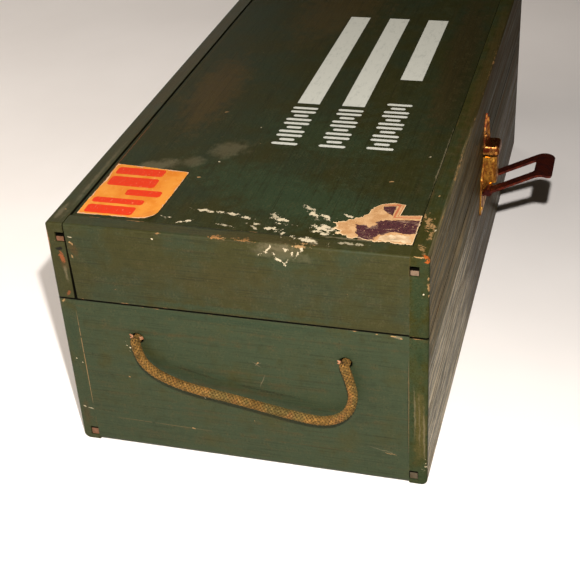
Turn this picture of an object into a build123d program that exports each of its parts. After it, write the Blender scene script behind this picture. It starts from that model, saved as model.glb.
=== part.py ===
from build123d import *
import math
import os

# Wooden footlocker: a grooved box sawn into a base and a lid, hinged at the back, with a snap
# latch at the front and a rope handle at each end.
#
# Frame: millimetres, +Z up, +X along the length, -Y is the front (latch side), +Y is the back
# (hinge side). The origin is the centre of the underside, on the surface that it stands on.

# ---- driving dimensions: box ----
LENGTH = 344.0
WIDTH = 165.0
HEIGHT = 118.5
BOARD = 8.0               # thickness of every board
SEAM_LOW = 80.1           # top of the base
SEAM_HIGH = 80.9          # underside of the lid
FRONT_SEAM_DROP = 0.6     # the seam is sawn this much lower along the front
BOTTOM_EDGE_R = 3.0       # long bottom edges, worn round
TOP_EDGE_R = 1.2          # long top edges
CORNER_EDGE_R = 1.2       # upright corners
NO_SLIT = (0.0, 0.0)
JOINT_SLIT = (1.5, 0.5)   # opened glue joint at the lid's back corners, at its foot and its top

# ---- panels held in grooves ----
GROOVE_DEPTH = 4.0
BOTTOM_GROOVE = (2.8, 7.7)        # lowest and highest z of the groove in the base
BOTTOM_TONGUE = (3.0, 6.4)
BOTTOM_FLOOR = 7.2                # inside floor
TOP_GROOVE = (109.5, 114.2)
TOP_TONGUE = (109.7, 112.0)
TONGUE_END_GAP = 0.5              # tongue stops this far short of the end face
PANEL_BACK_GAP = 1.4              # the lid panel has shrunk away from its back rail
PANEL_FIT_GAP = 0.3

# ---- nails ----
FRAME_NAIL_R = 1.1
FRAME_NAIL_LENGTH = 22.0
BASE_NAIL_Z = (16.0, 40.0, 68.0)
LID_NAIL_Z = (88.0, 105.0)
TACK_SHANK_R = 0.6
TACK_HEAD_R = 1.3
TACK_HEAD = 0.5
TACK_DOME_R = 0.35
TACK_LENGTH = 6.0

# ---- rope handles ----
ROPE_D = 4.5
ROPE_HOLE_R = 2.7
ROPE_HOLE_Y = 47.3
ROPE_HOLE_Z = 62.6
HOLE_MOUTH_R = 0.8
KNOT_R = 5.6
KNOT_LENGTH = 8.4
KNOT_ROUND = 3.8          # rounding of the knot's two ends
KNOT_TAIL = 7.0
KNOT_BITE = 1.0           # rope and tail reach this far into the knot
# Hanging rope: (y, z, distance out of the wall), from the back hole to the front hole.
ROPE_ROUTE = [
    (47.3, 62.6, 2.6),
    (46.6, 56.5, 2.9),
    (43.0, 50.3, 3.4),
    (34.5, 45.3, 4.0),
    (22.0, 41.8, 4.4),
    (5.0, 39.6, 4.6),
    (-12.0, 36.6, 4.6),
    (-27.0, 33.8, 4.5),
    (-39.5, 32.8, 4.3),
    (-48.4, 38.2, 4.0),
    (-51.4, 47.4, 3.5),
    (-49.7, 55.6, 3.0),
    (-47.3, 62.6, 2.6),
]
ARC_SHARE = 0.45          # each arc takes this share of the shorter run beside it

# ---- hinges ----
HINGE_X = 105.0
HINGE_LENGTH = 30.0
HINGE_LEAF_H = 13.0
LEAF = 0.8
LEAF_CORNER_R = 1.5
KNUCKLE_R = 1.8
HINGE_PIN_R = 0.8
HINGE_RUNNING = 0.05
KNUCKLE_HALF = 5.0        # half length of the lid's middle knuckle
KNUCKLE_GAP = 0.2
KNUCKLE_CLEAR = 0.3       # knuckles stand this far off the boards and the other leaf
HINGE_Y = WIDTH / 2 + KNUCKLE_R + KNUCKLE_CLEAR
HINGE_Z = (SEAM_LOW + SEAM_HIGH) / 2
LEAF_NOTCH = KNUCKLE_R + KNUCKLE_CLEAR
LEAF_OVERLAP = 1.0        # each knuckle's strap runs this far into its leaf
HINGE_NAIL_X = 10.5
HINGE_NAIL_Z = 8.1        # from the hinge's axis
PIN_HEAD = 0.6
PIN_HEAD_R = 1.3

# ---- latch, measured outwards from the front face ----
AXLE_OUT = 4.0
AXLE_Z = 62.3
AXLE_R = 0.9
AXLE_RUNNING = 0.06
AXLE_FLAT = 0.2           # depth of the flats that the spring bears on
AXLE_HEAD = 0.5
AXLE_HEAD_R = 1.5
PLATE = 0.8
PLATE_HALF = 13.0
PLATE_Z = (48.0, 69.5)
PLATE_CORNER_R = 2.0
SHOULDER_TOP = 76.0       # the plate's shoulders slope up to its neck here
NECK_HALF = 6.0
NECK_TOP = 79.6
FLANGE = 0.6
FLANGE_OUT = 3.7
EAR_R = 2.4
COVER_OUT = 7.2
COVER_WALL = 0.7
COVER_Z = (64.8, 79.9)
COVER_EDGE_R = 2.3
SPRING = 0.3
SPRING_HALF = 4.0
SPRING_SEAT = 1.2         # distance out of the face along the spring's fixed upper end
SPRING_Z = (78.0, 73.0, 63.4, 61.4, 59.8)    # top, bend, both ends of the flat, lifted tip
SPRING_TIP = 0.5
SPRING_RUNNING = 0.1
LOOP_REST_DEG = 26.6      # loop's angle above level where its tails stop on the plate
LOOP_SHEET = 1.2
LOOP_HALF = 12.5
WINDOW_HALF = 6.5
WINDOW_REACH = 25.5       # axle to the far end of the window
TAIL_REACH = 3.2
EYE_R = 1.9
TAB_ARC_R = 9.0
TAB_ARC_DEG = 42.0
TAB_TIP = 2.6
TAB_CORNER_R = 3.2
WINDOW_CORNER_R = 1.2
CATCH_HALF = 6.0
CATCH_SHEET = 0.9
CATCH_Z = (81.3, 95.0)
CATCH_APEX_Z = 102.0
LATCH_TACK_X = (-9.6, 9.6)
LATCH_TACK_Z = (51.5, 66.2)
CATCH_TACK_X = (-4.4, 4.4)
CATCH_TACK_Z = 91.5
RIDGE_HALF = (2.9, 0.6)   # the catch's pressed ridge at its foot and just under the point
RIDGE_OUT = (2.8, 1.7)
RIDGE_TOP = 100.4
NOSE_OUT = 8.2
NOSE_TOP = 86.5
NOSE_VALLEY = 85.6
NOSE_WALL = 0.8
NOSE_EDGE_R = 2.3
NOSE_TOP_R = 2.0
NOSE_LIP = 2.4            # flat top left in front of the nose's valley

CUT = 1.0                 # cutting blocks run this far past what they cut
NEAR = 0.01               # tolerance for finding an edge by its place

# ---- labels, x measured from the left end ----
PAPER = 0.2
ORANGE_LABEL = [(10.0, 71.7), (10.1, 39.6), (16.7, 36.9), (53.6, 36.0), (56.5, 71.7)]
TORN_LABEL = [
    (20.0, -39.4),
    (13.0, -41.8),
    (10.3, -46.5),
    (8.8, -65.2),
    (9.0, -74.1),
    (32.3, -74.1),
    (30.8, -64.5),
    (39.8, -65.5),
    (41.0, -61.0),
    (38.8, -55.4),
    (35.2, -52.3),
    (26.2, -48.9),
]

HALF_L = LENGTH / 2
HALF_W = WIDTH / 2
INNER_L = HALF_L - BOARD
INNER_W = HALF_W - BOARD
FRONT = -HALF_W


def block(x, y, z):
    """A box given by its lowest and highest x, y and z."""
    size = Box(x[1] - x[0], y[1] - y[0], z[1] - z[0])
    return Pos((x[0] + x[1]) / 2, (y[0] + y[1]) / 2, (z[0] + z[1]) / 2) * size


def edges_at(solid, axis, **place):
    """Straight edges along an axis whose centres lie at the given coordinates."""
    found = solid.edges().filter_by(axis)
    for name, value in place.items():
        found = found.filter_by(lambda e: abs(getattr(e.center(), name) - value) < NEAR)
    return found


def rod_x(radius, x, y, z):
    """A round bar along X from x[0] to x[1]."""
    bar = Rot(0, 90, 0) * Cylinder(radius, x[1] - x[0])
    return Pos((x[0] + x[1]) / 2, y, z) * bar


def rod_y(radius, x, y, z):
    """A round bar along Y from y[0] to y[1]."""
    bar = Rot(90, 0, 0) * Cylinder(radius, y[1] - y[0])
    return Pos(x, (y[0] + y[1]) / 2, z) * bar


def save(name, *solids):
    """Write one node, from one solid or from a group of separate ones."""
    shape = solids[0] if len(solids) == 1 else Compound(children=list(solids))
    shape.label = name
    export_step(shape, os.path.join("parts", name + ".step"))


# ---- boards ----
def long_board(side, z, groove, round_z, round_r):
    """A full-length front (side -1) or back (side +1) board, grooved along its inner face."""
    y_out = side * HALF_W
    y_in = side * INNER_W
    board = block((-HALF_L, HALF_L), sorted((y_out, y_in)), z)
    board = fillet(edges_at(board, Axis.X, Y=y_out, Z=round_z), round_r)
    corners = [edges_at(board, Axis.Z, X=end, Y=y_out) for end in (-HALF_L, HALF_L)]
    board = fillet(corners[0] + corners[1], CORNER_EDGE_R)
    y_groove = sorted((y_in, y_in + side * GROOVE_DEPTH))
    return board - block((-HALF_L, HALF_L), y_groove, groove)


def end_board(side, z, groove, round_z, round_r, slit):
    """An end board between the front and back boards, short of the back one by a slit."""
    x_out = side * HALF_L
    x_in = side * INNER_L
    outline = Polyline(
        (x_out, -INNER_W, z[0]),
        (x_out, INNER_W - slit[0], z[0]),
        (x_out, INNER_W - slit[1], z[1]),
        (x_out, -INNER_W, z[1]),
        close=True,
    )
    board = extrude(make_face(outline), amount=BOARD, dir=(-side, 0, 0))
    board = fillet(edges_at(board, Axis.Y, X=x_out, Z=round_z), round_r)
    x_groove = sorted((x_in, x_in + side * GROOVE_DEPTH))
    return board - block(x_groove, (-INNER_W, INNER_W), groove)


def rope_holes(board, side):
    """Two rope holes through an end board, with their outer mouths worn round."""
    x_out = side * HALF_L
    for y in (-ROPE_HOLE_Y, ROPE_HOLE_Y):
        board -= rod_x(ROPE_HOLE_R, (x_out - 2 * BOARD, x_out + 2 * BOARD), y, ROPE_HOLE_Z)
    mouths = board.edges().filter_by(GeomType.CIRCLE)
    mouths = mouths.filter_by(lambda e: abs(e.center().X - x_out) < NEAR)
    return fillet(mouths, HOLE_MOUTH_R)


def tongued_panel(tongue, field_z, back_gap):
    """A panel whose field lies between the boards and whose tongue runs in their grooves."""
    field_x = (-INNER_L + PANEL_FIT_GAP, INNER_L - PANEL_FIT_GAP)
    field = block(field_x, (-INNER_W + PANEL_FIT_GAP, INNER_W - back_gap), field_z)
    reach_x = INNER_L + GROOVE_DEPTH - PANEL_FIT_GAP
    reach_y = INNER_W + GROOVE_DEPTH - PANEL_FIT_GAP
    middle = block((-reach_x, reach_x), (-reach_y, reach_y), tongue)
    end_x = HALF_L - TONGUE_END_GAP
    runners = [block((-end_x, end_x), sorted((s * (INNER_W + PANEL_FIT_GAP), s * reach_y)), tongue)
               for s in (-1, 1)]
    return field + middle + runners[0] + runners[1]


def frame_nails(levels):
    """Nails through the front and back boards into the end boards' edges."""
    x = HALF_L - BOARD / 2
    nails = []
    for side_x in (-1, 1):
        for side_y in (-1, 1):
            for z in levels:
                y = sorted((side_y * HALF_W, side_y * (HALF_W - FRAME_NAIL_LENGTH)))
                nails.append(rod_y(FRAME_NAIL_R, side_x * x, y, z))
    return nails


def tack(x, side, seat, z):
    """A small domed tack driven into the front (-1) or back (+1); its head sits on the seat."""
    shank = rod_y(TACK_SHANK_R, x, sorted((side * seat, side * (seat - TACK_LENGTH))), z)
    head = rod_y(TACK_HEAD_R, x, sorted((side * seat, side * (seat + TACK_HEAD))), z)
    rim = head.edges().filter_by(lambda e: abs(abs(e.center().Y) - seat - TACK_HEAD) < NEAR)
    return shank + fillet(rim, TACK_DOME_R)


# ---- rope handles ----
def rope_handle(side):
    """The hanging rope between its two holes, with a rounded end where it meets each hole."""
    points = [Vector(side * (HALF_L + out), y, z) for y, z, out in ROPE_ROUTE]
    runs = [b - a for a, b in zip(points, points[1:])]
    radii = []
    for before, after in zip(runs, runs[1:]):
        half_turn = math.radians(before.get_angle(after)) / 2
        radii.append(ARC_SHARE * min(before.length, after.length) / math.tan(half_turn))
    path = FilletPolyline(*points, radius=radii)
    section = Plane(origin=points[0], z_dir=path % 0) * Circle(ROPE_D / 2)
    rope = sweep(section, path=path)
    print("rope", side, "length %.1f" % path.length, "radii", [round(r, 1) for r in radii])
    print("  volume %.1f of %.1f" % (rope.volume, path.length * math.pi * ROPE_D ** 2 / 4))
    for end in (points[0], points[-1]):
        rope += Pos(end) * Sphere(ROPE_D / 2)
    return rope


def rope_stops(side):
    """The rope inside the wall at each hole, ending in a knot and a short tail."""
    stops = []
    for y in (-ROPE_HOLE_Y, ROPE_HOLE_Y):
        wall = sorted((side * HALF_L, side * (INNER_L - KNOT_BITE)))
        stop = rod_x(ROPE_D / 2, wall, y, ROPE_HOLE_Z)
        knot_x = sorted((side * INNER_L, side * (INNER_L - KNOT_LENGTH)))
        knot = rod_x(KNOT_R, knot_x, y, ROPE_HOLE_Z)
        knot = fillet(knot.edges().filter_by(GeomType.CIRCLE), KNOT_ROUND)
        tail_far = INNER_L - KNOT_LENGTH - KNOT_TAIL
        tail_x = sorted((side * (INNER_L - KNOT_BITE), side * tail_far))
        stops.append(stop + knot + rod_x(ROPE_D / 2, tail_x, y, ROPE_HOLE_Z))
    return stops


# ---- hinges ----
def hinge_leaf(centre_x, up):
    """The lid's leaf (up +1, middle knuckle) or the base's leaf (up -1, two outer knuckles)."""
    half = HINGE_LENGTH / 2
    inner = KNUCKLE_HALF + KNUCKLE_GAP
    leaf_y = (HALF_W, HALF_W + LEAF)
    z = sorted((HINGE_Z + up * LEAF_NOTCH, HINGE_Z + up * HINGE_LEAF_H))
    leaf = block((centre_x - half, centre_x + half), leaf_y, z)
    far_z = HINGE_Z + up * HINGE_LEAF_H
    far = [edges_at(leaf, Axis.Y, X=centre_x + s * half, Z=far_z) for s in (-1, 1)]
    leaf = fillet(far[0] + far[1], LEAF_CORNER_R)
    if up > 0:
        spans = [(-KNUCKLE_HALF, KNUCKLE_HALF)]
        bore = HINGE_PIN_R + HINGE_RUNNING
    else:
        spans = [(-half, -inner), (inner, half)]
        bore = HINGE_PIN_R
    for low, high in spans:
        x = (centre_x + low, centre_x + high)
        strap_z = sorted((HINGE_Z, HINGE_Z + up * (LEAF_NOTCH + LEAF_OVERLAP)))
        leaf += block(x, leaf_y, strap_z)
        leaf += rod_x(KNUCKLE_R, x, HINGE_Y, HINGE_Z)
        leaf -= rod_x(bore, (x[0] - CUT, x[1] + CUT), HINGE_Y, HINGE_Z)
    return leaf


def hinge_tacks(up):
    """Two tacks in each leaf on one side of the seam."""
    z = HINGE_Z + up * HINGE_NAIL_Z
    tacks = []
    for centre_x in (-HINGE_X, HINGE_X):
        for offset in (-HINGE_NAIL_X, HINGE_NAIL_X):
            tacks.append(tack(centre_x + offset, 1, HALF_W + LEAF, z))
    return tacks


def hinge_pin(centre_x):
    """A pin with a small round head at each end."""
    half = HINGE_LENGTH / 2
    pin = rod_x(HINGE_PIN_R, (centre_x - half, centre_x + half), HINGE_Y, HINGE_Z)
    for side in (-1, 1):
        x = sorted((centre_x + side * half, centre_x + side * (half + PIN_HEAD)))
        pin += rod_x(PIN_HEAD_R, x, HINGE_Y, HINGE_Z)
    return pin


# ---- latch ----
def out_y(out):
    """The y that lies a distance out of the front face."""
    return FRONT - out


def side_profile(points, half):
    """Extrude an outline of (out, z) points across the latch, from -half to +half in x."""
    outline = Polyline(*[(0, out_y(out), z) for out, z in points], close=True)
    face = make_face(outline)
    return extrude(face, amount=half, dir=(1, 0, 0), both=True)


def latch_base_plate():
    """The plate on the base, with a flanged neck and two ears that hold the axle."""
    right = [
        (PLATE_HALF, PLATE_Z[0]),
        (PLATE_HALF, PLATE_Z[1]),
        (NECK_HALF, SHOULDER_TOP),
        (NECK_HALF, NECK_TOP),
    ]
    left = [(-x, z) for x, z in reversed(right)]
    outline = Polyline(*[(x, FRONT, z) for x, z in right + left], close=True)
    plate = extrude(make_face(outline), amount=PLATE, dir=(0, -1, 0))
    wide = plate.edges().filter_by(Axis.Y)
    wide = wide.filter_by(lambda e: abs(abs(e.center().X) - PLATE_HALF) < NEAR)
    plate = fillet(wide, PLATE_CORNER_R)
    for side in (-1, 1):
        x = sorted((side * NECK_HALF, side * (NECK_HALF - FLANGE)))
        flange = block(x, (out_y(FLANGE_OUT), FRONT), (AXLE_Z, NECK_TOP))
        ear = rod_x(EAR_R, x, out_y(AXLE_OUT), AXLE_Z)
        root = block(x, (out_y(AXLE_OUT), FRONT), (AXLE_Z - EAR_R, AXLE_Z + EAR_R))
        plate += flange + ear + root
    reach = NECK_HALF + CUT
    return plate - rod_x(AXLE_R + AXLE_RUNNING, (-reach, reach), out_y(AXLE_OUT), AXLE_Z)


def latch_cover():
    """The raised channel over the spring, open at both ends, between the plate's flanges."""
    half = NECK_HALF - FLANGE
    outer = block((-half, half), (out_y(COVER_OUT), out_y(PLATE)), COVER_Z)
    rims = [edges_at(outer, Axis.Z, X=s * half, Y=out_y(COVER_OUT)) for s in (-1, 1)]
    outer = fillet(rims[0] + rims[1], COVER_EDGE_R)
    inside = half - COVER_WALL
    inside_y = out_y(COVER_OUT - COVER_WALL)
    z = (COVER_Z[0] - CUT, COVER_Z[1] - COVER_WALL)
    channel = block((-inside, inside), (inside_y, FRONT), z)
    bends = [edges_at(channel, Axis.Z, X=s * inside, Y=inside_y) for s in (-1, 1)]
    return outer - fillet(bends[0] + bends[1], COVER_EDGE_R - COVER_WALL)


def latch_spring():
    """A leaf spring under the cover that bears on the axle."""
    bear = AXLE_OUT - AXLE_R - SPRING_RUNNING
    out = (SPRING_SEAT, SPRING_SEAT, bear, bear, bear - SPRING_TIP)
    front_side = list(zip(out, SPRING_Z))
    back_side = [(o - SPRING, z) for o, z in reversed(front_side)]
    return side_profile(front_side + back_side, SPRING_HALF)


def latch_axle():
    """The axle, peened at both ends, with flats for the spring in its middle."""
    y = out_y(AXLE_OUT)
    axle = rod_x(AXLE_R, (-LOOP_HALF, LOOP_HALF), y, AXLE_Z)
    for side in (-1, 1):
        x = sorted((side * LOOP_HALF, side * (LOOP_HALF + AXLE_HEAD)))
        axle += rod_x(AXLE_HEAD_R, x, y, AXLE_Z)
        flat = sorted((y + side * (AXLE_R - AXLE_FLAT), y + side * 2 * AXLE_R))
        flat_z = (AXLE_Z - 2 * AXLE_R, AXLE_Z + 2 * AXLE_R)
        axle -= block((-SPRING_HALF, SPRING_HALF), flat, flat_z)
    return axle


def latch_loop():
    """The swinging loop: two arms with eyes and tails, a cross bar and a curled finger tab."""
    half = LOOP_SHEET / 2
    turn = math.radians(TAB_ARC_DEG)

    def on_tab(offset, angle, beyond=0.0):
        """A point of the curled tab, offset from the sheet's middle, in the loop's own plane."""
        reach = WINDOW_REACH + (TAB_ARC_R + offset) * math.sin(angle) + beyond * math.cos(angle)
        rise = (TAB_ARC_R + offset) * math.cos(angle) - TAB_ARC_R - beyond * math.sin(angle)
        return (0, -reach, rise)

    tail_low = (0, TAIL_REACH, -half)
    tail_high = (0, TAIL_REACH, half)
    outline = [
        Line(tail_low, on_tab(-half, 0)),
        ThreePointArc(on_tab(-half, 0), on_tab(-half, turn / 2), on_tab(-half, turn)),
        Line(on_tab(-half, turn), on_tab(-half, turn, TAB_TIP)),
        Line(on_tab(-half, turn, TAB_TIP), on_tab(half, turn, TAB_TIP)),
        Line(on_tab(half, turn, TAB_TIP), on_tab(half, turn)),
        ThreePointArc(on_tab(half, turn), on_tab(half, turn / 2), on_tab(half, 0)),
        Line(on_tab(half, 0), tail_high),
        Line(tail_high, tail_low),
    ]
    side = Face(Wire(outline))
    loop = extrude(side, amount=LOOP_HALF, dir=(1, 0, 0), both=True)
    tip_y = on_tab(0, turn, TAB_TIP)[1]
    tips = loop.edges().filter_by(lambda e: abs(e.length - LOOP_SHEET) < NEAR)
    tips = tips.filter_by(lambda e: abs(e.center().Y - tip_y) < NEAR)
    loop = fillet(tips, TAB_CORNER_R)
    window_z = (-2 * LOOP_SHEET, 2 * LOOP_SHEET)
    loop -= block((-WINDOW_HALF, WINDOW_HALF), (-WINDOW_REACH, 2 * TAIL_REACH), window_z)
    corners = edges_at(loop, Axis.Z, Y=-WINDOW_REACH)
    loop = fillet(corners, WINDOW_CORNER_R)
    for side_x in (-1, 1):
        loop += rod_x(EYE_R, sorted((side_x * WINDOW_HALF, side_x * LOOP_HALF)), 0, 0)
    loop -= rod_x(AXLE_R, (-2 * LOOP_HALF, 2 * LOOP_HALF), 0, 0)
    return Pos(0, out_y(AXLE_OUT), AXLE_Z) * Rot(-LOOP_REST_DEG, 0, 0) * loop


def catch_ridge():
    """The ridge pressed into the catch plate, tapering from the nose up to the point."""
    sections = []
    for half, out, z in zip(RIDGE_HALF, RIDGE_OUT, (NOSE_VALLEY, RIDGE_TOP)):
        foot = out_y(CATCH_SHEET / 2)
        sections.append(make_face(Polyline(
            (-half, foot, z),
            (0, out_y(out), z),
            (half, foot, z),
            close=True,
        )))
    return loft(sections)


def lid_catch_plate():
    """The pointed plate on the lid, with a ridge and the hollow nose that the loop passes over."""
    outline = Polyline(
        (-CATCH_HALF, FRONT, CATCH_Z[0]),
        (CATCH_HALF, FRONT, CATCH_Z[0]),
        (CATCH_HALF, FRONT, CATCH_Z[1]),
        (0, FRONT, CATCH_APEX_Z),
        (-CATCH_HALF, FRONT, CATCH_Z[1]),
        close=True,
    )
    plate = extrude(make_face(outline), amount=CATCH_SHEET, dir=(0, -1, 0))
    nose = block((-CATCH_HALF, CATCH_HALF), (out_y(NOSE_OUT), FRONT), (CATCH_Z[0], NOSE_TOP))
    rims = [edges_at(nose, Axis.Z, X=s * CATCH_HALF, Y=out_y(NOSE_OUT)) for s in (-1, 1)]
    nose = fillet(rims[0] + rims[1], NOSE_EDGE_R)
    rim_top = nose.faces().sort_by(Axis.Z)[-1].edges()
    nose = fillet(rim_top.filter_by(lambda e: e.center().Y < FRONT - NEAR), NOSE_TOP_R)
    hollow_x = CATCH_HALF - NOSE_WALL
    hollow_z = (CATCH_Z[0] + NOSE_WALL, NOSE_VALLEY - NOSE_WALL)
    hollow_y = out_y(NOSE_OUT - NOSE_WALL)
    hollow = block((-hollow_x, hollow_x), (hollow_y, FRONT), hollow_z)
    bends = [edges_at(hollow, Axis.Z, X=s * hollow_x, Y=hollow_y) for s in (-1, 1)]
    hollow = fillet(bends[0] + bends[1], NOSE_EDGE_R - NOSE_WALL)
    valley_out = sorted((out_y(NOSE_OUT - NOSE_LIP), out_y(CATCH_SHEET)))
    valley_x = (-CATCH_HALF - CUT, CATCH_HALF + CUT)
    valley = block(valley_x, valley_out, (NOSE_VALLEY, NOSE_TOP + CUT))
    return plate + (nose - hollow - valley) + catch_ridge()


def latch_tacks():
    """Four tacks in the latch's base plate."""
    return [tack(x, -1, HALF_W + PLATE, z) for x in LATCH_TACK_X for z in LATCH_TACK_Z]


def catch_tacks():
    """Two tacks in the lid's catch plate."""
    return [tack(x, -1, HALF_W + CATCH_SHEET, CATCH_TACK_Z) for x in CATCH_TACK_X]


# ---- labels ----
def label(points):
    """A thin paper label on the lid's top."""
    corners = [(x - HALF_L, y, HEIGHT) for x, y in points]
    return extrude(make_face(Polyline(*corners, close=True)), amount=PAPER, dir=(0, 0, 1))


def clear_of(solid, fasteners):
    """Cut the ways of the fasteners out of a solid."""
    for fastener in fasteners:
        solid -= fastener
    return solid


def save_box():
    """Boards, panels and frame nails of the base and the lid."""
    base_z = (0, SEAM_LOW)
    lid_z = (SEAM_HIGH, HEIGHT)
    seam_drop = {"front": FRONT_SEAM_DROP, "back": 0.0}
    base_nails = frame_nails(BASE_NAIL_Z)
    lid_nails = frame_nails(LID_NAIL_Z)
    driven = {
        "base_front_board": latch_tacks(),
        "base_back_board": hinge_tacks(-1),
        "lid_front_rail": catch_tacks(),
        "lid_back_rail": hinge_tacks(1),
    }
    for side, name in ((-1, "front"), (1, "back")):
        drop = seam_drop[name]
        base = long_board(side, (0, SEAM_LOW - drop), BOTTOM_GROOVE, 0, BOTTOM_EDGE_R)
        lid = long_board(side, (SEAM_HIGH - drop, HEIGHT), TOP_GROOVE, HEIGHT, TOP_EDGE_R)
        base_name = "base_" + name + "_board"
        lid_name = "lid_" + name + "_rail"
        save(base_name, clear_of(base, base_nails + driven[base_name]))
        save(lid_name, clear_of(lid, lid_nails + driven[lid_name]))
    for side, name in ((-1, "left"), (1, "right")):
        base = end_board(side, base_z, BOTTOM_GROOVE, 0, BOTTOM_EDGE_R, NO_SLIT)
        base = rope_holes(clear_of(base, base_nails), side)
        lid = end_board(side, lid_z, TOP_GROOVE, HEIGHT, TOP_EDGE_R, JOINT_SLIT)
        save("base_" + name + "_end", base)
        save("lid_" + name + "_end", clear_of(lid, lid_nails))
    save("base_bottom_panel", tongued_panel(BOTTOM_TONGUE, (0, BOTTOM_FLOOR), PANEL_FIT_GAP))
    save("lid_top_panel", tongued_panel(TOP_TONGUE, (TOP_TONGUE[0], HEIGHT), PANEL_BACK_GAP))
    save("base_frame_nails", *base_nails)
    save("lid_frame_nails", *lid_nails)


def save_handles():
    """The rope handle at each end, and the knots that hold it inside."""
    for side, name in ((-1, "left"), (1, "right")):
        save(name + "_rope_handle", rope_handle(side))
        save(name + "_rope_knots", *rope_stops(side))


def save_hinges():
    """Two hinges across the seam at the back."""
    for centre_x, name in ((-HINGE_X, "left"), (HINGE_X, "right")):
        save(name + "_hinge_base_leaf", clear_of(hinge_leaf(centre_x, -1), hinge_tacks(-1)))
        save(name + "_hinge_lid_leaf", clear_of(hinge_leaf(centre_x, 1), hinge_tacks(1)))
        save(name + "_hinge_pin", hinge_pin(centre_x))
    save("hinge_base_tacks", *hinge_tacks(-1))
    save("hinge_lid_tacks", *hinge_tacks(1))


def save_latch():
    """The snap latch on the front, and its catch on the lid."""
    save("latch_base_plate", clear_of(latch_base_plate(), latch_tacks()))
    save("latch_cover", latch_cover())
    save("latch_spring", latch_spring())
    save("latch_axle", latch_axle())
    save("latch_loop", latch_loop())
    save("latch_tacks", *latch_tacks())
    save("lid_catch_plate", clear_of(lid_catch_plate(), catch_tacks()))
    save("lid_catch_tacks", *catch_tacks())


def main():
    os.makedirs("parts", exist_ok=True)
    save_box()
    save_handles()
    save_hinges()
    save_latch()
    save("orange_label", label(ORANGE_LABEL))
    save("torn_label", label(TORN_LABEL))


if __name__ == "__main__":
    main()
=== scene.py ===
import math
import random

import bpy
from mathutils import Matrix, Vector, geometry, noise


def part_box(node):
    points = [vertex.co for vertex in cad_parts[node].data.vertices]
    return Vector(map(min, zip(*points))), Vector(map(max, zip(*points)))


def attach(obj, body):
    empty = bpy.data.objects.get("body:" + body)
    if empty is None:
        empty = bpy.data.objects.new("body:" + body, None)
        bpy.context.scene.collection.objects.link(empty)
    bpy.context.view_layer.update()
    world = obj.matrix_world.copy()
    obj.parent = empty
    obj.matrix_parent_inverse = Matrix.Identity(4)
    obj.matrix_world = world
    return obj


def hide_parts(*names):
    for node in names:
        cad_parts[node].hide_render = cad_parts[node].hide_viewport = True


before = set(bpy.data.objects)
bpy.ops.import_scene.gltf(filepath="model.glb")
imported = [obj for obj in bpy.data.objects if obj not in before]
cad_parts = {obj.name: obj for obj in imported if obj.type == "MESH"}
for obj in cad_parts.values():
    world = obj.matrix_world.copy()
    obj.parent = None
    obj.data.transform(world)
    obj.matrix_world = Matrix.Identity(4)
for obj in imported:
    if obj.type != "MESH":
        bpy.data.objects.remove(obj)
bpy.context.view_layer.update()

# Looks of a small wooden footlocker: worn olive paint over bare wood, a brass snap latch, braided
# rope handles, two paper labels and white stencilled marks. Everything is in metres, in the CAD
# frame: +Z up, +X along the box, -Y the front (latch), +Y the back (hinges). The end that faces
# the camera is the left one, at -X.

MM = 0.001

END_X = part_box("base_left_end")[0].x          # outer face of the near end
FRONT_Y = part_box("base_front_board")[0].y     # outer face of the front
BACK_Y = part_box("base_back_board")[1].y
TOP_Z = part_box("lid_top_panel")[1].z
JOINT_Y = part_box("base_left_end")[1].y        # where the end boards meet the long ones


# ---- camera and light ----
CAMERA_PLACE = Vector((-0.56286, -0.14662, 0.36276))
CAMERA_HEADING = 17.314     # degrees from +X towards +Y
CAMERA_PITCH = -32.983      # degrees above the horizon
CAMERA_ROLL = -3.673        # degrees
LENS_MM = 73.61
SENSOR_MM = 36.0

WHITE_LIGHT = (1.0, 1.0, 1.0)
WARM_LIGHT = (1.0, 0.95, 0.90)
KEY_ABOVE, KEY_RIGHT = 0.076, 0.012           # the key lamp's place beside the lens
KEY_LAMP = ((-0.08, 0.03, 0.04), 0.011, 6.4)  # what it points at, its size and its watts
# The soft lamps: name, place, what it points at, size, watts and colour.
SOFT_LAMPS = (
    ("soft_left", (-0.45, 0.78, 0.46), (-0.1, 0.1, 0.0), 0.7, 9.0, WARM_LIGHT),
    ("soft_above", (-0.1, 0.8, 1.4), (0.0, 0.1, 0.0), 1.4, 0.6, WHITE_LIGHT),
    ("soft_back", (1.2, 0.9, 0.4), (0.1, 0.0, 0.05), 0.9, 4.5, WARM_LIGHT),
)
SKY_COLOUR = (1.0, 0.86, 0.72, 1.0)
SKY_STRENGTH = 0.024


def camera_axes():
    """The camera's right and up directions."""
    heading, pitch, roll = map(math.radians, (CAMERA_HEADING, CAMERA_PITCH, CAMERA_ROLL))
    level = Vector((math.sin(heading), -math.cos(heading), 0.0))
    forward = Vector((math.cos(pitch) * math.cos(heading), math.cos(pitch) * math.sin(heading),
                      math.sin(pitch)))
    right = math.cos(roll) * level + math.sin(roll) * level.cross(forward)
    return right, right.cross(forward)


def placed(name, data):
    """A new object in the scene."""
    made = bpy.data.objects.new(name, data)
    bpy.context.scene.collection.objects.link(made)
    return made


def make_camera():
    """The camera at the photographed angle, with no lens shift."""
    data = bpy.data.cameras.new("camera")
    data.lens = LENS_MM
    data.sensor_width = SENSOR_MM
    data.clip_start = 0.01
    data.clip_end = 100.0
    camera = placed("camera", data)
    right, up = camera_axes()
    turn = Matrix((right, up, right.cross(up))).transposed()
    camera.matrix_world = Matrix.Translation(CAMERA_PLACE) @ turn.to_4x4()
    bpy.context.scene.camera = camera


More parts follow.
